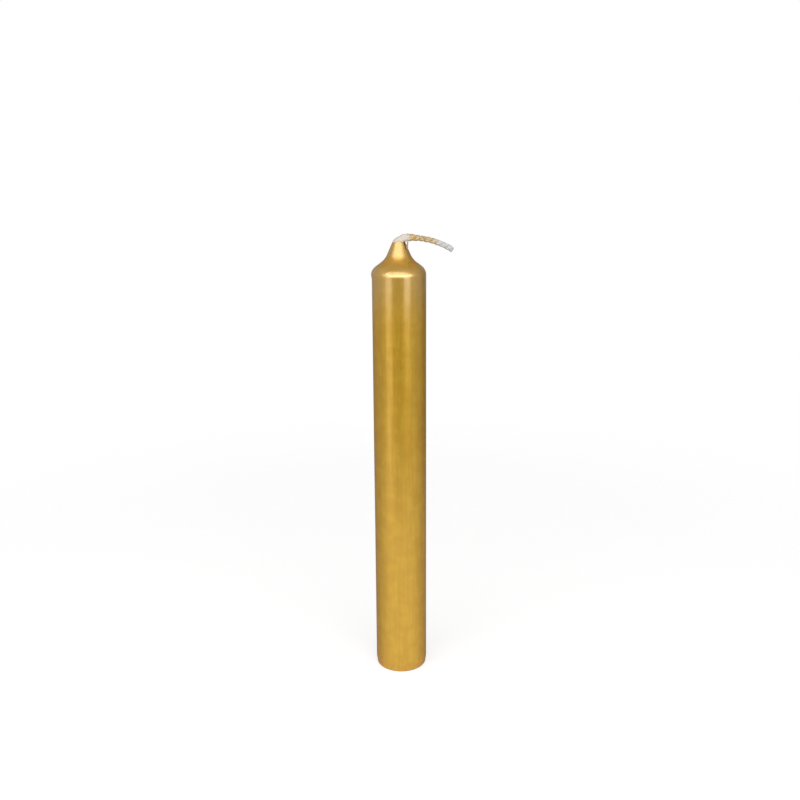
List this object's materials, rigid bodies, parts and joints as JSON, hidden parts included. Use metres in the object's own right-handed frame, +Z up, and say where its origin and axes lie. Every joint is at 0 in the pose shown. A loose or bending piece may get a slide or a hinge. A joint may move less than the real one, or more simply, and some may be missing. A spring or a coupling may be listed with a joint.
{
  "type": "candle",
  "caption": "Straight gold-lacquered household candle with an ogee head and a plaited cotton wick bent over to one side.",
  "frame": {"origin": "centre of the flat underside of the foot", "axes": "+Z up the candle's axis; the wick is bent over towards +X; +Y points away from the picture's viewpoint"},
  "size_m": [0.0329, 0.022, 0.1899],
  "materials": {
    "white_wax": null,
    "ochre_wax": null,
    "gold_lacquer": "satin gold metallic lacquer over wax",
    "cotton": "bleached plaited cotton, stiff with wax",
    "worn_gold": "thin gold lacquer soaked into cotton"
  },
  "bodies": {
    "root": {"wax_core": "white_wax", "colour_coat": "ochre_wax", "gold_lacquer": "gold_lacquer", "wick_ply_1": "cotton", "wick_ply_2": "cotton", "wick_ply_3": "cotton", "wick_lacquer_sleeve": "worn_gold"}
  },
  "joints": []
}
